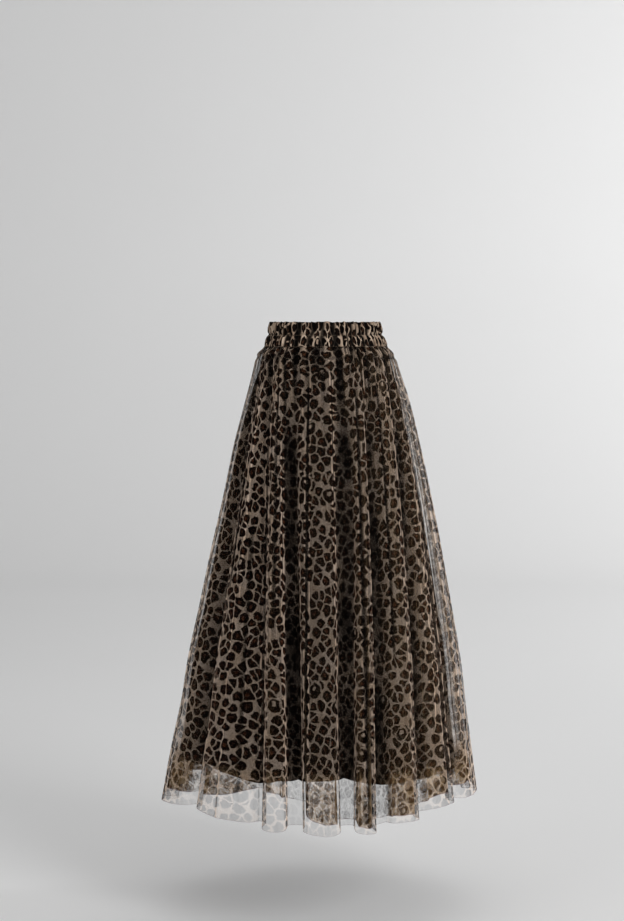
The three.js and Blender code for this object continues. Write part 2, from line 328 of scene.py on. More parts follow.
def swell_curve():
    """The share of its swell that the lining has, by fold number."""
    places = [0.0]
    shares = [0.0]
    for i, (_, _, left, right, _, _) in enumerate(FOLDS):
        spare = (right - left - SWELL_LEAST) / (SWELL_MOST - SWELL_LEAST)
        places += [i + 0.5, i + 1.0]
        shares += [min(1.0, max(0.0, spare)), 0.0]
    return curve(places, shares)


swell_share = swell_curve()

# Creases and flutes that the solids leave to the cloth.
# A crease of the outer tulle: azimuth at the waist and at the hem, height where it starts and ends,
# depth into the cloth (negative stands proud) and half width in millimetres, and how many more
# thicknesses of net its two edges are pressed into, which also paints them as highlight lines.
# A crease that runs into the cloth takes painted shade at its bottom.
OUTER_CREASES = (
    (-83, -80, -60, -1000, 5.0, 4.5, 2.5),
    (-78, -71, -120, -700, -4.0, 6.0, 0.6),
    (-59.6, -40, -45, -1000, -6.0, 4.2, 2.2),
    (-66, -47, -90, -560, 3.5, 6.0, 0.4),
    (-56, -33, -330, -1000, 3.0, 8.0, 0.3),
    (-51.5, -24.6, -60, -1000, 2.0, 3.6, 1.5),
    (-42, -18, -40, -640, 3.0, 4.5, 0.8),
    (-37.5, -14.5, -160, -1000, 1.5, 2.5, 1.4),
    (-13.9, -5.1, -40, -1000, 6.0, 3.5, 1.7),
    (-22, -2.2, -40, -420, -3.5, 4.0, 0.6),
    (-3, 0.5, -60, -1000, -4.5, 5.5, 0.3),
    (4.5, 4.6, -40, -1000, 3.0, 2.6, 2.0),
    (24, 15.2, -50, -1000, 3.6, 4.0, 0.7),
    (30, 18.4, -150, -1000, 1.5, 2.6, 2.8),
    (43, 28.5, -40, -700, 4.0, 5.0, 0.6),
    (50, 33, -300, -1000, -5.0, 4.5, 0.5),
    (56, 36.6, -250, -1000, 2.0, 2.8, 3.2),
    (67, 46, -60, -820, -4.5, 5.0, 1.0),
    (71, 52.5, -40, -1000, 4.5, 5.0, 0.8),
    (80, 70, -70, -1000, -6.0, 5.5, 1.8),
    (84, 78, -160, -900, 4.0, 6.0, 1.0),
    (97, 101, -50, -1000, -5.0, 5.0, 1.6),
    (117, 121, -60, -780, 4.5, 5.0, 0.8),
    (123, 127, -200, -1000, -5.5, 4.5, 3.0),
    (139, 145, -45, -1000, 3.5, 4.5, 1.2),
    (157, 164, -60, -1000, -5.0, 4.2, 3.4),
    (163, 168, -40, -560, 4.0, 4.5, 0.8),
    (177, 182, -120, -1000, -4.0, 4.5, 2.2),
    (184, 186, -40, -700, 4.5, 5.0, 0.5),
    (200, 202, -50, -1000, -6.0, 4.2, 3.6),
    (206, 208, -260, -1000, 4.0, 5.5, 0.8),
    (222, 226, -45, -880, 3.5, 4.0, 2.4),
    (240, 243, -60, -1000, -5.0, 4.4, 2.6),
    (246, 249, -150, -700, 4.0, 5.0, 0.6),
    (260, 262, -50, -1000, -4.0, 4.5, 1.6),
)

# Where the lining falls into folds of its own, in the same terms.
LINING_CREASES = (
    (-33.5, -11.0, -70, -1000, 16.0, 9.0, 0),
    (13.5, 8.3, -75, -1000, 15.0, 8.0, 0),
    (-70, -55.5, -120, -1000, 9.0, 12.0, 0),
    (34, 21.4, -110, -1000, 9.0, 9.0, 0),
    (60, 39, -150, -1000, 9.0, 10.0, 0),
    (-86, -80, -50, -1000, -9.0, 36.0, 0),
    (-86, -78, -190, -1000, -11.0, 36.0, 0),
    (84, 82, -120, -1000, 8.0, 28.0, 0),
    (76, 60, -200, -1000, 8.0, 11.0, 0),
    (110, 112, -130, -1000, 10.0, 11.0, 0),
    (131, 135.5, -90, -1000, 12.0, 10.0, 0),
    (148, 154, -150, -1000, 12.0, 9.0, 0),
    (168, 174.5, -100, -1000, 10.0, 10.0, 0),
    (192, 193, -170, -1000, 13.0, 9.0, 0),
    (213, 216.5, -120, -1000, 10.0, 10.0, 0),
    (232, 234.5, -100, -1000, 12.0, 9.0, 0),
    (252, 255, -140, -1000, 9.0, 11.0, 0),
)

# How much painted shade each valley between two ridges takes, from the left side seam round to it
# again.
VALLEY_SHADES = (
    0.3, 0.6, 0.65, 0.92, 0.88, 0.9, 0.85, 0.7, 0.4, 0.6, 0.9, 0.7, 1.0, 0.8, 0.6, 0.9, 0.5, 0.3,
)

# How full the outer tulle hangs in each ridge.
OUTER_WEIGHTS = (
    0.65, 1.05, 1.0, 0.78, 0.85, 0.8, 0.85, 0.8, 1.0, 0.9, 1.05, 0.85, 1.0, 0.8, 0.95, 1.1, 0.9,
)

# How much of the inner tulle is bunched up behind each ridge.
INNER_BUNCHES = (
    0.03, 0.01, 0.03, 0.03, 0.1, 0.1, 0.12, 0.1, 0.1, 0.04, 0.1, 0.03, 0.1, 0.07, 0.1, 0.04, 0.06,
)

# How full the inner tulle falls at its hem in each ridge.
INNER_HEM_FULLNESS = (
    1.0, 1.4, 0.8, 1.3, 2.1, 2.3, 2.3, 1.7, 1.2, 1.6, 1.1, 2.0, 1.4, 1.1, 2.1, 1.5, 1.2,
)


def crease_lines(creases, azimuth, z):
    """What creases do at azimuths and heights.

    Returns their depth in millimetres, the net pressed into them, which also paints their edges as
    highlight lines, and the painted shade of their bottoms.
    """
    fan = fanned(z)
    radius = (reach_left(z) + reach_right(z)) / 2
    total = np.zeros(np.broadcast(azimuth, z).shape)
    pressed = np.zeros_like(total)
    shaded = np.zeros_like(total)
    for at_waist, at_hem, top, bottom, depth, half_width, layers in creases:
        centre = at_waist * (1 - fan) + at_hem * fan
        offset = np.radians((azimuth - centre + 180) % 360 - 180) * radius
        present = smooth((top - z) / 90) * smooth((z - bottom) / 110)
        total += depth * present / (1 + (offset / half_width) ** 2) ** 1.5
        edge = np.abs(offset) - half_width
        dashed = 1 + 0.6 * np.sin(z / 7.3 + 3 * at_hem) * np.sin(z / 29 + at_waist)
        strength = PRESSED_STRENGTH * layers * present * dashed
        pressed += strength * np.exp(-((edge / PRESSED_WIDTH) ** 2))
        # A crease that runs into the cloth takes painted shade at its bottom.
        if depth > 0:
            spread = CREASE_SHADE_SPREAD * half_width
            dark = min(1.0, depth / 4.0) * present * np.exp(-((offset / spread) ** 2))
            shaded = np.maximum(shaded, dark)
    return total, pressed, shaded


def turns(t, count):
    """An angle that runs through a whole number of turns round the waist, so that its ends meet."""
    return 2 * np.pi * count * t / RIDGES


def waves(t, z, depth, seed):
    """Small uneven hollows, from a few sine waves that don't repeat together."""
    first = np.sin(turns(t, 20) + 0.0052 * z + seed)
    second = np.sin(turns(t, 33) - 0.0071 * z + 2.7 * seed)
    third = np.sin(turns(t, 11) + 0.0113 * z + 1.3 * seed)
    return depth * (0.45 * first + 0.3 * second + 0.25 * third)


def uneven_gathers(t):
    """Gathers of differing depth: 1 at the bottom of one and 0 on its crest."""
    uneven = t + 0.018 * np.sin(turns(t, 25)) + 0.012 * np.sin(turns(t, 64))
    strength = 0.72 + 0.28 * np.sin(turns(t, 47)) * np.sin(turns(t, 16))
    return gather_share(uneven) * strength


def channel_gathers(t):
    """The tight gathers that the elastic draws up: 1 at the bottom of one and 0 on its crest."""
    uneven = turns(t, 66) + 1.1 * np.sin(turns(t, 9)) + 0.7 * np.sin(turns(t, 23) + 1.4)
    strength = 0.8 + 0.2 * np.sin(turns(t, 37)) * np.sin(turns(t, 14) + 0.6)
    return (0.5 + 0.5 * np.cos(uneven)) * strength


def tulle_inset(t, z, start, gather, nest, azimuth, extra):
    """Where a tulle layer hangs: its azimuths, and its insets inside the reach.

    extra is what the cloth adds to the solid's form.
    """
    share = fold_value(t, 4)
    fold = fold_depth(z) * (1 - share * (1 - valley_share(t)))
    kept = 1 - fanned(z) * np.sin(2 * np.pi * t) ** 2
    turned = azimuth(t, z) + curl_at(t, z, nest)
    inset = start(z) + fold + gather(z) * kept * uneven_gathers(t) + extra(t, z, turned)
    return turned, inset


def outer_extra(t, z, turned):
    """Creases, fine gathers that fade below the waist, soft hollows and the row of gathering."""
    flat_part = 1 - 0.75 * np.sin(2 * np.pi * t) ** 2
    fine = 0.8 * np.cos(4 * np.pi * fold_value(t, 1) * t + 1.3) * np.exp((z + 25) / 120)
    creases = crease_lines(OUTER_CREASES, turned, z)[0] * flat_part
    pinch = 2.6 * np.exp(-(((z - GATHER_ROW) / 3.5) ** 2))
    puff = (2.0 - 4.5 * channel_gathers(t)) * np.exp(-(((z - GATHER_ROW - 11) / 7) ** 2))
    hollows = fanned(z) * (1.5 + waves(t, z, 1.6, 0.4)) * (1 - valley_share(t))
    return creases + fine + pinch - puff + hollows


def inner_extra(t, z, turned):
    """The inner tulle hangs in many small flutes, on its ridges' hollow side."""
    fan = fanned(z)
    ridge = 1 - valley_share(t)
    phase = 2.2 * np.sin(turns(t, 8)) + z / 300
    flutes = 0.5 + 0.5 * np.sin(turns(t, 44) + phase)
    small = 0.5 + 0.5 * np.sin(turns(t, 107) - 0.6 * phase)
    free = 1 - 0.75 * np.exp(-(((turned + 78) / 13) ** 2))
    return fan * ridge * free * (9.0 * flutes + 4.5 * small + waves(t, z, 1.5, 1.9)) + 0.5 * fan


def outer_place(t, z):
    return tulle_inset(t, z, crest_sink, outer_gather, 0, straight_azimuth, outer_extra)


def inner_place(t, z):
    """The inner tulle never comes nearer than its clearance to the outer."""
    turned, inset = tulle_inset(
        t, z, inner_start, inner_gather, NEST_DEGREES, nested_azimuth, inner_extra
    )
    return turned, np.maximum(inset, outer_place(t, z)[1] + INNER_CLEARANCE)


def outer_points(t, z):
    turned, inset = outer_place(t, z)
    return placed(turned, z, inset)


def inner_points(t, z):
    turned, inset = inner_place(t, z)
    return placed(turned, z, inset)


def lining_points(t, z):
    """The lining hangs as an A-line tube that swells into wide ridges and falls into folds."""
    azimuth = straight_azimuth(t, z)
    swell = lining_swell(z) * swell_share(t)
    ripple = fanned(z) * (1 + waves(t, z, 2.2, 3.3))
    creases = crease_lines(LINING_CREASES, azimuth, z)[0]
    behind = inner_place(t, z)[1] + LINING_CLEARANCE
    return placed(azimuth, z, np.maximum(lining_start(z) - swell + ripple + creases, behind))


valley_shade = curve(range(RIDGES + 1), VALLEY_SHADES)


def shaded_columns(t, z):
    """Painted shade in tall grooves that run down from the gathering, each as far as its own
    strength.
    """
    place = turns(t, 43) + 1.3 * np.sin(turns(t, 10) + 0.5) + 0.5 * np.sin(z / 85 + turns(t, 13))
    core = smooth((0.5 + 0.5 * np.cos(place) - 0.42) / 0.42)
    reach = 150 + 95 * np.sin(turns(t, 17) + 2.0)
    return core * np.exp(-((np.maximum(-20 - z, 0) / reach) ** 1.6))


def groove_shade(t, z):
    """The painted shade at a gather's bottom: most just under the waistband, and little past the
    hips.
    """
    tight = channel_gathers(t) ** 1.3 * np.exp(-np.maximum(GATHER_ROW + 14 - z, 0) / 16)
    row = 0.9 * np.exp(-(((z - GATHER_ROW) / ROW_SHADE_HALF_WIDTH) ** 2))
    kept = 0.4 * np.exp((z + 25) / 60) + 0.95 * np.exp((z + 25) / 330)
    patchy = 0.78 + 0.3 * np.sin(turns(t, 21) + z / 210) * np.sin(turns(t, 9) - z / 160 + 1.1)
    long = uneven_gathers(t) * np.minimum(kept, 1) * patchy
    creases = crease_lines(OUTER_CREASES, straight_azimuth(t, z), z)[2]
    columns = CREASE_SHADE * shaded_columns(t, z)
    return np.maximum.reduce([tight, row + 0 * t, long, CREASE_SHADE * creases, columns])


def outer_layers(t, z):
    """Thicknesses of the outer tulle: more in pressed creases, whose edges also serve as painted
    highlights, and where it is gathered up.
    """
    pressed = crease_lines(OUTER_CREASES, straight_azimuth(t, z), z)[1]
    gathered = 0.6 * np.exp((z + 25) / 40) + 0.2 * np.exp((z + 25) / 160)
    return outer_weight(t) + pressed + gathered


def inner_layers(t, z):
    """Thicknesses of the inner tulle, which is bunched unevenly and falls fuller at its hem."""
    bunched = inner_bunch(t)
    full = inner_fullness(t) * (1 - 0.88 * valley_share(t))
    low = smooth((-845 - z) / 45)
    return bunched + (full - bunched) * low + 0.05 * np.exp((z + 25) / 60)


def one_layer(t, z):
    return np.ones_like(t)


bunch_places = [0.0] + [i + 0.5 for i in range(RIDGES)] + [float(RIDGES)]
inner_bunch = curve(bunch_places, (0.04,) + INNER_BUNCHES + (0.04,))
inner_fullness = curve(bunch_places, (1.0,) + INNER_HEM_FULLNESS + (1.0,))
outer_weight = curve(bunch_places, (0.5,) + OUTER_WEIGHTS + (0.5,))

# Laying cloth

# A panel starts a little inside the waistband, and its rows lie closer together near it.
TUCKED_IN = 1.5
ROW_CLOSENESS = 1.35

# How wide one fold number is at a side seam, in metres.
SEAM_PITCH = math.radians(20) * 0.3


def clear_selection():
    for item in bpy.context.selected_objects:
        item.select_set(False)


def add_float(mesh, name, values):
    """A number for each vertex, which a material reads."""
    layer = mesh.attributes.new(name, "FLOAT", "POINT")
    layer.data.foreach_set("value", np.asarray(values, np.float32).ravel())


def add_map(mesh, name, coordinates):
    """A UV map from one pair of numbers for each vertex."""
    corners = np.empty(len(mesh.loops), np.int32)
    mesh.loops.foreach_get("vertex_index", corners)
    layer = mesh.uv_layers.new(name=name)
    layer.uv.foreach_set("vector", coordinates.reshape(-1, 2)[corners].astype(np.float32).ravel())


def running(points, axis):
    """The distance run along an axis of a grid of points, from its first."""
    steps = np.linalg.norm(np.diff(points, axis=axis), axis=-1)
    pad = [(0, 0), (0, 0)]
    pad[axis] = (1, 0)
    return np.cumsum(np.pad(steps, pad), axis=axis)


def cut_out(points, fullness):
    """The flat cut of a draped grid: its map in metres, and its width, length and area.

    The panel is cut as a sector, wider at the hem. fullness is how much more cloth the waist has
    than its drape shows, where it is drawn up too finely to model.
    """
    across = running(points, 1)
    down = running(points, 0)
    waist_width = across[:6, -1].mean() * fullness
    hem_width = across[-1, -1]
    share = (across / across[:, -1:]).mean(axis=0)
    length = down[-1].mean()
    turn = (hem_width - waist_width) / length
    radius = waist_width / turn + down
    angle = turn * (share - 0.5)
    flat = np.stack([radius * np.sin(angle), -radius * np.cos(angle)], -1)
    return flat, hem_width, length, (waist_width + hem_width) / 2 * length


def lay_cloth(name, surface, hem, layers, half, columns, rows, fullness):
    """A panel of cloth, from a grid primitive draped over a surface. Returns it and its cut.

    layers gives how many thicknesses lie on each other at fold numbers and heights.
    """
    first, last = half
    clear_selection()
    bpy.ops.mesh.primitive_grid_add(x_subdivisions=columns, y_subdivisions=rows, size=1)
    panel = bpy.context.object
    panel.name = name
    mesh = panel.data
    mesh.name = name
    t = np.linspace(first, last, columns + 1)[None, :] + np.zeros((rows + 1, 1))
    fall = np.linspace(0, 1, rows + 1)[:, None] ** ROW_CLOSENESS
    bottom = hem(straight_azimuth(t, HEM_LEVEL))
    z = BAND_BOTTOM + TUCKED_IN + fall * (bottom - BAND_BOTTOM - TUCKED_IN)
    points = surface(t, z) * MM
    upwards = points[::-1]
    mesh.vertices.foreach_set("co", upwards.astype(np.float32).ravel())
    flat, width, length, area = cut_out(points, fullness)
    grid = np.stack(
        [(t - first) / (last - first), 1 - np.linspace(0, 1, rows + 1)[:, None] + 0 * t], -1
    )
    for layer in list(mesh.uv_layers):
        mesh.uv_layers.remove(layer)
    add_map(mesh, "OFBake", grid[::-1])
    add_map(mesh, "cut", flat[::-1])
    # Painted shade, carried by the depth attribute: dark valley bottoms and sides, gather bottoms
    # and crease bottoms.
    broken = 0.82 + 0.18 * np.sin(z / 37 + turns(t, 5)) * np.sin(z / 113 + turns(t, 11))
    narrow = 3 + 1.7 * np.sin(z / 71 + 2.4 * np.round(t))
    slopes = SLOPE_SHADE * valley_share(t) ** 1.3
    valley = np.maximum(valley_share(t) ** narrow, slopes)
    valley = valley * valley_shade(t) * broken * smooth((-50 - z) / 190)
    shade = np.maximum(valley, groove_shade(t, z))
    add_float(mesh, "depth", shade[::-1])
    add_float(mesh, "layers", layers(t, z)[::-1])
    add_float(mesh, "from_hem", ((z - bottom) * MM)[::-1])
    side = np.minimum(t - first, last - t)
    add_float(mesh, "from_side", (side * SEAM_PITCH)[::-1])
    mesh.update()
    clear_selection()
    panel.select_set(True)
    bpy.context.view_layer.objects.active = panel
    bpy.ops.object.shade_smooth()
    return panel, (width, length, area)


# Materials

LINING_BLACK = (0.0022, 0.0018, 0.0016, 1)
LINING_FADED = (0.0045, 0.0038, 0.0034, 1)
# The near black of painted shade, which the tulle and the waistband take in valleys, creases and
# gather bottoms.
DEEP_SHADE = (0.0012, 0.0009, 0.0008, 1)
STITCH_THREAD = (0.16, 0.12, 0.085, 1)
EDGE_MAUVE = (0.36, 0.31, 0.32, 1)

# Ground, ground in its darker drifts, spots, and the middles of spots.
BAND_COLOURS = (
    (0.64, 0.50, 0.38, 1),
    (0.24, 0.16, 0.11, 1),
    (0.0050, 0.0028, 0.0020, 1),
    (0.05, 0.022, 0.012, 1),
)
OUTER_COLOURS = (
    (0.92, 0.73, 0.59, 1),
    (0.80, 0.59, 0.43, 1),
    (0.010, 0.004, 0.003, 1),
    (0.12, 0.043, 0.020, 1),
)
INNER_COLOURS = (
    (0.42, 0.31, 0.19, 1),
    (0.27, 0.17, 0.08, 1),
    (0.095, 0.056, 0.026, 1),
    (0.17, 0.10, 0.045, 1),
)


def new_group(name, inputs, outputs):
    """A shader node group with named sockets. Inputs are (kind, name, value)."""
    group = bpy.data.node_groups.new(name, "ShaderNodeTree")
    for kind, label, value in inputs:
        socket = group.interface.new_socket(name=label, in_out="INPUT", socket_type=kind)
        if value is not None:
            socket.default_value = value
    for kind, label in outputs:
        group.interface.new_socket(name=label, in_out="OUTPUT", socket_type=kind)
    entry = group.nodes.new("NodeGroupInput")
    result = group.nodes.new("NodeGroupOutput")
    return group, entry, result


class Wiring:
    """Adds nodes to a tree and joins them, with plain numbers or sockets as inputs."""

    def __init__(self, tree):
        self.tree = tree

    def join(self, value, socket):
        if isinstance(value, bpy.types.NodeSocket):
            self.tree.links.new(value, socket)
        else:
            socket.default_value = value

    def node(self, kind, inputs=(), **settings):
        made = self.tree.nodes.new(kind)
        for key, value in settings.items():
            setattr(made, key, value)
        for key, value in dict(inputs).items():
            self.join(value, made.inputs[key])
        return made

    def math(self, operation, first, second=0.0, third=0.0):
        inputs = {0: first, 1: second}
        if operation in ("MULTIPLY_ADD", "SMOOTH_MIN"):
            inputs[2] = third
        return self.node("ShaderNodeMath", inputs, operation=operation).outputs[0]

    def vector(self, operation, first, second=(0, 0, 0)):
        made = self.node("ShaderNodeVectorMath", {0: first}, operation=operation)
        self.join(second, made.inputs["Scale" if operation == "SCALE" else 1])
        return made.outputs["Value" if operation == "LENGTH" else "Vector"]

    def ramp(self, value, low, high, to_low=0.0, to_high=1.0):
        inputs = {
            "Value": value,
            "From Min": low,
            "From Max": high,
            "To Min": to_low,
            "To Max": to_high,
        }
        made = self.node("ShaderNodeMapRange", inputs, interpolation_type="SMOOTHSTEP")
        return made.outputs["Result"]

    def blend(self, share, first, second, kind="MIX"):
        made = self.node("ShaderNodeMix", data_type="RGBA", blend_type=kind)
        self.join(share, made.inputs["Factor"])
        self.join(first, made.inputs[6])
        self.join(second, made.inputs[7])
        return made.outputs[2]

    def noise(self, vector, scale, detail=2.0, roughness=0.5):
        inputs = {"Vector": vector, "Scale": scale, "Detail": detail, "Roughness": roughness}
        return self.node("ShaderNodeTexNoise", inputs)

    def cells(self, vector, scatter, feature="F1"):
        inputs = {"Vector": vector, "Scale": 1.0, "Randomness": scatter}
        return self.node("ShaderNodeTexVoronoi", inputs, voronoi_dimensions="2D", feature=feature)


# How unevenly the spots and the large open rings are strewn, and a ring's width in small spots.
SPOT_SCATTER = 0.84
RING_SCATTER = 0.9
RING_SPREAD = 2.1

# The print runs aslant to the grain, in radians.
PRINT_TURN = 0.55


def open_rings(wire, bent):
    """A few large rings, open to one side. Returns the rings and the ground that they clear."""
    wide = wire.vector("SCALE", bent, 1 / RING_SPREAD)
    outer = wire.cells(wide, RING_SCATTER)
    aside = wire.vector("ADD", wide, (0.06, -0.08, 0.0))
    inner = wire.cells(aside, RING_SCATTER)
    chance = wire.node("ShaderNodeSeparateColor", {"Color": outer.outputs["Color"]})
    chosen = wire.math("GREATER_THAN", chance.outputs["Blue"], 0.88)
    reach = wire.math("MULTIPLY_ADD", chance.outputs["Green"], 0.08, 0.27)
    beyond = wire.math("SUBTRACT", outer.outputs["Distance"], reach)
    disc = wire.ramp(beyond, -0.02, 0.01, 1.0, 0.0)
    hole = wire.ramp(inner.outputs["Distance"], 0.07, 0.12, 1.0, 0.0)
    ring = wire.math("MULTIPLY", wire.math("SUBTRACT", disc, hole), chosen)
    ring = wire.math("MAXIMUM", ring, 0.0)
    cleared = wire.math("MULTIPLY", wire.ramp(beyond, 0.05, 0.09, 1.0, 0.0), chosen)
    return ring, cleared


def leopard_print():
    """Rounded dark spots on a pale network, some with a brown middle, and a few open rings."""
    inputs = (
        ("NodeSocketVector", "Vector", None),
        ("NodeSocketFloat", "Spot pitch", 0.028),
        ("NodeSocketFloat", "Network", 0.11),
        ("NodeSocketFloat", "Rings", 0.5),
        ("NodeSocketFloat", "Softness", 0.05),
        ("NodeSocketVector", "Shift", (0.0, 0.0, 0.0)),
    )
    outputs = (
        ("NodeSocketFloat", "Spots"),
        ("NodeSocketFloat", "Middles"),
        ("NodeSocketFloat", "Tone"),
    )
    group, entry, result = new_group("leopard print", inputs, outputs)
    wire = Wiring(group)
    sockets = entry.outputs
    pitch = wire.math("DIVIDE", 1.0, sockets["Spot pitch"])
    moved = wire.vector("ADD", sockets["Vector"], sockets["Shift"])
    moved = wire.node("ShaderNodeVectorRotate", {"Vector": moved, "Angle": PRINT_TURN}).outputs[0]
    scaled = wire.vector("SCALE", moved, pitch)
    bend = wire.noise(scaled, 1.5, 2.0, 0.5).outputs["Color"]
    bend = wire.vector("SUBTRACT", bend, (0.5, 0.5, 0.5))
    bend = wire.vector("SCALE", bend, 0.62)
    bent = wire.vector("ADD", scaled, bend)
    cells = wire.cells(bent, SPOT_SCATTER)
    edges = wire.cells(bent, SPOT_SCATTER, "DISTANCE_TO_EDGE")
    chance = wire.node("ShaderNodeSeparateColor", {"Color": cells.outputs["Color"]})
    ragged = wire.noise(scaled, 3.0, 1.0).outputs["Fac"]
    ragged = wire.math("MULTIPLY_ADD", ragged, 0.16, -0.04)
    size = wire.math("MULTIPLY_ADD", chance.outputs["Green"], 0.18, 0.43)
    room = wire.math("SUBTRACT", size, cells.outputs["Distance"])
    edge = wire.math("SUBTRACT", edges.outputs["Distance"], sockets["Network"])
    inside = wire.math("SMOOTH_MIN", wire.math("MULTIPLY", edge, 1.5), room, 0.24)
    inside = wire.math("ADD", inside, ragged)
    spots = wire.ramp(inside, 0.0, sockets["Softness"])
    rings, cleared = open_rings(wire, bent)
    kept = wire.math("SUBTRACT", 1.0, cleared)
    spots = wire.math("MAXIMUM", wire.math("MULTIPLY", spots, kept), rings)
    wire.join(spots, result.inputs["Spots"])
    aside = wire.vector("ADD", bent, (0.07, 0.05, 0.0))
    middle = wire.cells(aside, SPOT_SCATTER)
    wobble = wire.math("MULTIPLY", ragged, 0.9)
    distance = wire.math("ADD", middle.outputs["Distance"], wobble)
    hollow = wire.ramp(distance, 0.10, 0.27, 1.0, 0.0)
    roomy = wire.ramp(inside, 0.03, 0.12)
    chosen = wire.ramp(chance.outputs["Red"], sockets["Rings"], 1.0, 1.0, 0.15)
    hollow = wire.math("MULTIPLY", hollow, chosen)
    hollow = wire.math("MULTIPLY", hollow, wire.math("MULTIPLY", roomy, kept))
    wire.join(hollow, result.inputs["Middles"])
    tone = wire.noise(scaled, 0.55, 3.0, 0.6).outputs["Fac"]
    wire.join(tone, result.inputs["Tone"])
    return group


def net_weave():
    """The fine diamond mesh of tulle, whose threads serve as a height too."""
    inputs = (
        ("NodeSocketVector", "Vector", None),
        ("NodeSocketFloat", "Mesh size", 0.0016),
    )
    group, entry, result = new_group("net weave", inputs, (("NodeSocketFloat", "Threads"),))
    wire = Wiring(group)
    scale = wire.math("DIVIDE", 6.2832, entry.outputs["Mesh size"])
    scaled = wire.vector("SCALE", entry.outputs["Vector"], scale)
    parts = wire.node("ShaderNodeSeparateXYZ", {"Vector": scaled})
    along = wire.math("ADD", parts.outputs["X"], parts.outputs["Y"])
    against = wire.math("SUBTRACT", parts.outputs["X"], parts.outputs["Y"])
    first = wire.math("ABSOLUTE", wire.math("SINE", along))
    second = wire.math("ABSOLUTE", wire.math("SINE", against))
    nearest = wire.math("MINIMUM", first, second)
    threads = wire.ramp(nearest, 0.0, 0.75, 1.0, 0.0)
    wire.join(threads, result.inputs["Threads"])
    return group


def cloth_weave():
    """A plain weave's height, with the slight slubs of a lining cloth."""
    inputs = (
        ("NodeSocketVector", "Vector", None),
        ("NodeSocketFloat", "Thread pitch", 0.0009),
    )
    outputs = (("NodeSocketFloat", "Height"), ("NodeSocketFloat", "Slubs"))
    group, entry, result = new_group("cloth weave", inputs, outputs)
    wire = Wiring(group)
    scale = wire.math("DIVIDE", 3.1416, entry.outputs["Thread pitch"])
    scaled = wire.vector("SCALE", entry.outputs["Vector"], scale)
    parts = wire.node("ShaderNodeSeparateXYZ", {"Vector": scaled})
    warp = wire.math("SINE", parts.outputs["X"])
    weft = wire.math("SINE", parts.outputs["Y"])
    height = wire.math("MULTIPLY_ADD", wire.math("MULTIPLY", warp, weft), 0.5, 0.5)
    wire.join(height, result.inputs["Height"])
    slubs = wire.noise(entry.outputs["Vector"], 420.0, 2.0).outputs["Fac"]
    wire.join(slubs, result.inputs["Slubs"])
    return group


def stitch_rows():
    """Short dashes of thread along two lines of the waistband."""
    inputs = (
        ("NodeSocketVector", "Vector", None),
        ("NodeSocketFloat", "Stitch", 0.0045),
    )
    group, entry, result = new_group("stitch rows", inputs, (("NodeSocketFloat", "Thread"),))
    wire = Wiring(group)
    parts = wire.node("ShaderNodeSeparateXYZ", {"Vector": entry.outputs["Vector"]})
    count = wire.math("DIVIDE", parts.outputs["X"], entry.outputs["Stitch"])
    dash = wire.math("PINGPONG", count, 0.5)
    dash = wire.ramp(dash, 0.14, 0.2)
    rows = 0.0
    for level in (-0.0003, -0.0242):
        away = wire.math("ABSOLUTE", wire.math("SUBTRACT", parts.outputs["Y"], level))
        line = wire.ramp(away, 0.0003, 0.0006, 1.0, 0.0)
        rows = wire.math("ADD", rows, line)
    wire.join(wire.math("MULTIPLY", rows, dash), result.inputs["Thread"])
    return group


def new_material(name):
    """A material with an empty Principled shader, its wiring and the cloth's map."""
    material = bpy.data.materials.new(name)
    material.use_nodes = True
    tree = material.node_tree
    wire = Wiring(tree)
    shader = tree.nodes["Principled BSDF"]
    cut = wire.node("ShaderNodeUVMap", uv_map="cut").outputs["UV"]
    return material, wire, shader, cut


def use_group(wire, group, inputs):
    made = wire.node("ShaderNodeGroup", node_tree=group)
    for key, value in inputs.items():
        wire.join(value, made.inputs[key])
    return made.outputs


def printed_colour(wire, pattern, colours):
    """The print's colour: a ground that drifts between two tones, spots and their middles."""
    ground, ground_shade, spot, middle = colours
    drift = wire.ramp(pattern["Tone"], 0.3, 0.7)
    base = wire.blend(drift, ground_shade, ground)
    marked = wire.blend(pattern["Spots"], base, spot)
    share = wire.math("MULTIPLY", pattern["Middles"], pattern["Spots"])
    return wire.blend(share, marked, middle)


def bump(wire, height, strength, distance):
    inputs = {"Height": height, "Strength": strength, "Distance": distance}
    return wire.node("ShaderNodeBump", inputs).outputs["Normal"]


def lining_material(groups):
    """Opaque black lining cloth."""
    material, wire, shader, cut = new_material("black lining cloth")
    weave = use_group(wire, groups["cloth"], {"Vector": cut, "Thread pitch": 0.0009})
    faded = wire.ramp(weave["Slubs"], 0.25, 0.8)
    colour = wire.blend(faded, LINING_BLACK, LINING_FADED)
    wire.join(colour, shader.inputs["Base Color"])
    roughness = wire.ramp(weave["Slubs"], 0.2, 0.8, 0.75, 0.95)
    wire.join(roughness, shader.inputs["Roughness"])
    height = wire.math("MULTIPLY_ADD", weave["Slubs"], 0.6, weave["Height"])
    wire.join(bump(wire, height, 0.25, 0.0002), shader.inputs["Normal"])
    shader.inputs["Specular IOR Level"].default_value = 0.01
    return material


# The cover of a net's holes and what its threads add, with the finest mesh that is drawn.
NET_HOLE_COVER = 0.72
NET_THREAD_COVER = 0.7
NET_MESH = 0.0017

# The most that a groove's colour is drawn to the painted shade, on the tulle and on the waistband.
TULLE_SHADE_MOST = 0.92
BAND_SHADE_MOST = 0.97

# The most aslant that a net is seen, as the cosine of the angle.
STEEPEST_LOOK = 0.08


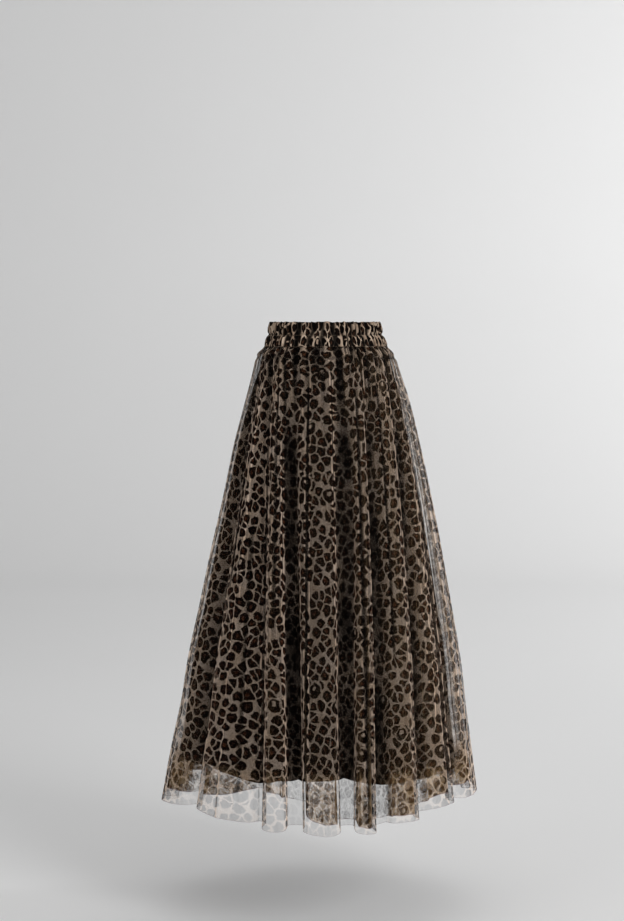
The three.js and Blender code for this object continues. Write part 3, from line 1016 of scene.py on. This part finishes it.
def tulle_material(name, groups, print_values, colours, net, ink, streaks, mottle):
    """Sheer printed net.

    A slanting look passes through more thread, and so does one through several thicknesses, so
    the net is less sheer there. net and ink are what plain and printed net hide, seen straight on,
    streaks run down where it is gathered, and mottle is how much its fine creasing breaks it up.
    """
    material, wire, shader, cut = new_material(name)
    pattern = use_group(wire, groups["print"], {"Vector": cut, **print_values})
    colour = printed_colour(wire, pattern, colours)
    # Painted shade: where the depth attribute marks valleys, creases and gather bottoms, the colour
    # is drawn to near black.
    depth = wire.node("ShaderNodeAttribute", attribute_name="depth").outputs["Fac"]
    painted_shade_share = wire.ramp(depth, 0.1, 0.9, 0.0, TULLE_SHADE_MOST)
    colour = wire.blend(painted_shade_share, colour, DEEP_SHADE)
    weave = use_group(wire, groups["net"], {"Vector": cut, "Mesh size": NET_MESH})
    cover = wire.ramp(pattern["Spots"], 0.0, 1.0, net, ink)
    thread = wire.math("MULTIPLY_ADD", weave["Threads"], NET_THREAD_COVER, NET_HOLE_COVER)
    cover = wire.math("MULTIPLY", cover, thread)
    creased = wire.noise(wire.vector("MULTIPLY", cut, (210.0, 150.0, 1.0)), 1.0, 3.0, 0.65)
    creased = wire.ramp(creased.outputs["Fac"], 0.34, 0.66, 1.0 - mottle, 1.0 + 0.6 * mottle)
    cover = wire.math("MINIMUM", wire.math("MULTIPLY", cover, creased), 0.97)
    from_hem = wire.node("ShaderNodeAttribute", attribute_name="from_hem").outputs["Fac"]
    edge = wire.ramp(from_hem, 0.0008, 0.0022, 1.0, 0.0)
    colour = wire.blend(edge, colour, EDGE_MAUVE)
    wire.join(colour, shader.inputs["Base Color"])
    edge = wire.math("MULTIPLY", edge, 0.25)
    from_side = wire.node("ShaderNodeAttribute", attribute_name="from_side").outputs["Fac"]
    seam = wire.ramp(from_side, 0.003, 0.005, 0.12, 0.0)
    cover = wire.math("ADD", cover, wire.math("MAXIMUM", edge, seam))
    stretched = wire.vector("MULTIPLY", cut, (190.0, 7.0, 1.0))
    streak = wire.noise(stretched, 1.0, 2.0, 0.6).outputs["Fac"]
    streak = wire.ramp(streak, 0.34, 0.66, 1.0 - streaks, 1.0 + streaks)
    layers = wire.node("ShaderNodeAttribute", attribute_name="layers").outputs["Fac"]
    layers = wire.math("MULTIPLY", layers, streak)
    facing = wire.node("ShaderNodeLayerWeight").outputs["Facing"]
    straight = wire.math("MAXIMUM", wire.math("SUBTRACT", 1.0, facing), STEEPEST_LOOK)
    crossed = wire.math("DIVIDE", layers, straight)
    passed = wire.math("POWER", wire.math("SUBTRACT", 1.0, cover), crossed)
    wire.join(wire.math("SUBTRACT", 1.0, passed), shader.inputs["Alpha"])
    wire.join(bump(wire, weave["Threads"], 0.15, 0.0002), shader.inputs["Normal"])
    shader.inputs["Roughness"].default_value = 0.7
    shader.inputs["Specular IOR Level"].default_value = 0.03
    return material


def waistband_material(groups):
    """Printed tulle over printed cloth, shirred, with rows of stitching."""
    material, wire, shader, cut = new_material("shirred printed waistband")
    drawn_up = wire.vector("MULTIPLY", cut, (1.7, 1.0, 1.0))
    pattern = use_group(
        wire, groups["print"],
        {"Vector": drawn_up, "Spot pitch": 0.022, "Network": 0.08, "Rings": 0.3, "Softness": 0.06},
    )
    colour = printed_colour(wire, pattern, BAND_COLOURS)
    # Painted shade: the depth attribute draws the colour to near black in the gathers' bottoms and
    # pinches.
    depth = wire.node("ShaderNodeAttribute", attribute_name="depth").outputs["Fac"]
    painted_shade_share = wire.ramp(depth, 0.12, 0.78, 0.0, BAND_SHADE_MOST)
    colour = wire.blend(painted_shade_share, colour, DEEP_SHADE)
    stitches = use_group(wire, groups["stitches"], {"Vector": cut})
    thread = wire.math("MULTIPLY", stitches["Thread"], 0.5)
    colour = wire.blend(thread, colour, STITCH_THREAD)
    wire.join(colour, shader.inputs["Base Color"])
    weave = use_group(wire, groups["net"], {"Vector": cut, "Mesh size": NET_MESH})
    height = wire.math("MULTIPLY_ADD", stitches["Thread"], 1.5, weave["Threads"])
    wire.join(bump(wire, height, 0.3, 0.0003), shader.inputs["Normal"])
    roughness = wire.ramp(weave["Threads"], 0.0, 1.0, 0.6, 0.78)
    wire.join(roughness, shader.inputs["Roughness"])
    shader.inputs["Specular IOR Level"].default_value = 0.04
    return material


# The pieces


def finish_piece(piece, material, nodes):
    """Gives a piece its material and body, and hides the solids that it stands for."""
    piece.data.materials.clear()
    piece.data.materials.append(material)
    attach(piece, "root")
    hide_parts(*nodes)


HALVES = (("front", (0, FRONT_RIDGES)), ("back", (FRONT_RIDGES, RIDGES)))


def add_layer(name, surface, hem, layers, material, columns, rows, fullness):
    """A layer's front and back panels, each with its cut as a map."""
    for half, ridges in HALVES:
        node = f"{name}_{half}"
        panel, cut = lay_cloth(
            f"{node}_cloth", surface, hem, layers, ridges, columns[half], rows, fullness
        )
        finish_piece(panel, material, [node])


def band_points(t, z):
    """The waistband's outside, whose gathers drift a little between its two channels."""
    drift = 0.035 * np.sin(turns(t, 14)) * np.sign(z) * smooth(np.abs(z) / 6)
    gathers = channel_gathers(t + drift)
    fine = 0.4 * np.sin(4 * np.pi * fold_value(t, 1) * t + z / 5)
    pucker = waves(3 * t, 9 * z, 0.6, 2.2)
    azimuth = straight_azimuth(t, BAND_TOP + 0 * z)
    inset = band_inset(z) + band_gather(z) * gathers + fine + pucker
    sway = 1.3 * np.sin(turns(t, 41)) + 0.8 * np.sin(turns(t, 13))
    pinched = np.exp(-(((z + sway) / 2.2) ** 2)) + np.exp(-(((z + 25) / 2.2) ** 2))
    lift = 1.3 * smooth((z - 15) / 10) * (0.35 - gathers + 0.6 * np.sin(turns(t, 29)))
    # Painted shade in the bottoms of the gathers and along the pinched stitch lines.
    shade = np.maximum(gathers, 0.5 * pinched)
    return placed(azimuth, z, inset) + lift[..., None] * (0, 0, 1), shade


# The casing's length before it is gathered, in metres.
BAND_CUT_LENGTH = 1.05


def add_waistband(material):
    """The gathered casing, as one closed ring: outside, top edge, plain inside, bottom edge."""
    columns = 1280
    outside = 34
    inside = 8
    rows = outside + inside
    clear_selection()
    bpy.ops.mesh.primitive_grid_add(x_subdivisions=columns, y_subdivisions=rows, size=1)
    band = bpy.context.object
    band.name = "waistband_ring"
    mesh = band.data
    mesh.name = "waistband_ring"
    t = np.linspace(0, RIDGES, columns + 1)[None, :]
    outer_z = np.linspace(BAND_BOTTOM, BAND_TOP, outside + 1)[:, None]
    outer, gathers = band_points(t + 0 * outer_z, outer_z + 0 * t)
    inner_z = np.linspace(BAND_TOP - 1, BAND_BOTTOM + 1, inside - 1)[:, None]
    azimuth = straight_azimuth(t + 0 * inner_z, BAND_TOP + 0 * inner_z)
    inner = placed(azimuth, inner_z + 0 * t, BAND_INNER_INSET)
    points = np.concatenate([outer, inner, outer[:1]]) * MM
    mesh.vertices.foreach_set("co", points.astype(np.float32).ravel())
    around = running(points, 1)
    share = (around / around[:, -1:]).mean(axis=0)[None, :]
    down = running(points, 0)
    depth = (BAND_TOP - BAND_BOTTOM) * MM
    flat = np.stack([share * BAND_CUT_LENGTH + 0 * down, down - 0.5 * depth], -1)
    for layer in list(mesh.uv_layers):
        mesh.uv_layers.remove(layer)
    grid = np.stack([share + 0 * down, down / down.max()], -1)
    add_map(mesh, "OFBake", grid)
    add_map(mesh, "cut", flat)
    quiet = np.zeros((inside, columns + 1))
    # The depth attribute carries painted shade outside, and none on the plain inside.
    add_float(mesh, "depth", np.concatenate([gathers, quiet]))
    mesh.update()
    bpy.ops.object.mode_set(mode="EDIT")
    bpy.ops.mesh.select_all(action="SELECT")
    bpy.ops.mesh.remove_doubles(threshold=0.00002)
    bpy.ops.mesh.select_all(action="DESELECT")
    bpy.ops.object.mode_set(mode="OBJECT")
    bpy.ops.object.shade_smooth()
    finish_piece(band, material, ["waistband_front", "waistband_back"])


# Floor, backdrop and lights


def plain_material(name, colour):
    material, wire, shader, _ = new_material(name)
    place = wire.node("ShaderNodeTexCoord").outputs["Object"]
    speckle = wire.noise(place, 0.7, 2.0).outputs["Fac"]
    light = tuple(min(1.0, part * 1.03) for part in colour[:3]) + (1,)
    wire.join(wire.blend(speckle, colour, light), shader.inputs["Base Color"])
    shader.inputs["Roughness"].default_value = 0.85
    shader.inputs["Specular IOR Level"].default_value = 0.2
    return material


def add_backdrop():
    """A pale floor that sweeps up into a wall, far enough back for a look from behind."""
    turn = 1.6
    wall = 7.4
    wall_height = 6.0
    near = -12.0
    half_width = 12.0
    flat_rows = 12
    turned_rows = 36
    rows = 48
    clear_selection()
    bpy.ops.mesh.primitive_grid_add(x_subdivisions=2, y_subdivisions=rows, size=1)
    sweep = bpy.context.object
    sweep.name = "backdrop"
    points = []
    for row in range(rows + 1):
        if row < flat_rows:
            y = near + (wall - turn - near) * row / flat_rows
            z = 0.0
        elif row <= turned_rows:
            angle = math.pi / 2 * (row - flat_rows) / (turned_rows - flat_rows)
            y = wall - turn + turn * math.sin(angle)
            z = turn - turn * math.cos(angle)
        else:
            y = wall
            z = turn + wall_height * (row - turned_rows) / (rows - turned_rows)
        points += [(x, y, FLOOR_LEVEL + z) for x in (-half_width, 0.0, half_width)]
    sweep.data.vertices.foreach_set("co", [part for point in points for part in point])
    sweep.data.update()
    bpy.ops.object.shade_smooth()
    sweep.data.materials.append(plain_material("pale backdrop", (0.86, 0.86, 0.86, 1)))


def add_area_light(name, place, aim, size, power):
    bpy.ops.object.light_add(type="AREA", location=place)
    light = bpy.context.object
    light.name = name
    light.data.shape = "RECTANGLE"
    light.data.size = size[0]
    light.data.size_y = size[1]
    light.data.energy = power
    away = [place[i] - aim[i] for i in range(3)]
    flat = math.hypot(away[0], away[1])
    light.rotation_euler = (math.atan2(flat, away[2]), 0, math.atan2(away[0], -away[1]))


# Soft lights: name, place, aim, size and power.
WORLD_LIGHT = 0.36
SOFT_LIGHTS = (
    ("key light", (2.6, -3.4, 1.6), (0, 0, -0.4), (1.8, 2.4), 95),
    ("fill light", (-3.2, -3.0, 1.0), (0, 0, -0.4), (2.2, 2.6), 16),
    ("backdrop light", (5.6, 2.6, 1.6), (1.6, 7.4, 0.8), (2.4, 3.0), 210),
    ("top light", (0.2, 0.4, 3.0), (0, 0, -0.5), (2.6, 2.6), 20),
)


def add_lights():
    """Soft studio light from all round, stronger from the front right and from above."""
    world = bpy.context.scene.world or bpy.data.worlds.new("studio")
    bpy.context.scene.world = world
    world.use_nodes = True
    background = world.node_tree.nodes["Background"]
    background.inputs["Color"].default_value = (1, 1, 1, 1)
    background.inputs["Strength"].default_value = WORLD_LIGHT
    for name, place, aim, size, power in SOFT_LIGHTS:
        add_area_light(name, place, aim, size, power)


# Putting it together

add_camera()
groups = {
    "print": leopard_print(),
    "net": net_weave(),
    "cloth": cloth_weave(),
    "stitches": stitch_rows(),
}
add_layer(
    "lining", lining_points, lining_hem, one_layer, lining_material(groups),
    columns={"front": 300, "back": 320}, rows=110, fullness=1.1,
)
inner_print = {
    "Spot pitch": 0.0245,
    "Network": 0.07,
    "Rings": 0.5,
    "Softness": 0.12,
    "Shift": (1.37, 0.61, 0),
}
inner_net = tulle_material(
    "inner printed tulle", groups, inner_print, INNER_COLOURS,
    net=0.56, ink=0.92, streaks=0.2, mottle=0.35,
)
add_layer(
    "inner_tulle", inner_points, inner_hem, inner_layers, inner_net,
    columns={"front": 460, "back": 480}, rows=100, fullness=1.45,
)
outer_print = {
    "Spot pitch": 0.0208,
    "Network": 0.08,
    "Rings": 0.4,
    "Softness": 0.05,
    "Shift": (0.43, 2.19, 0),
}
outer_net = tulle_material(
    "outer printed tulle", groups, outer_print, OUTER_COLOURS,
    net=0.18, ink=0.24, streaks=0.07, mottle=0.12,
)
add_layer(
    "outer_tulle", outer_points, outer_hem, outer_layers, outer_net,
    columns={"front": 640, "back": 640}, rows=130, fullness=1.3,
)
add_waistband(waistband_material(groups))
add_backdrop()
add_lights()

# Many sheer folds lie behind each other, and a look through them needs as many steps.
bpy.context.scene.cycles.transparent_max_bounces = 48

# The plain transform keeps the black lining black.
bpy.context.scene.view_settings.view_transform = "Standard"
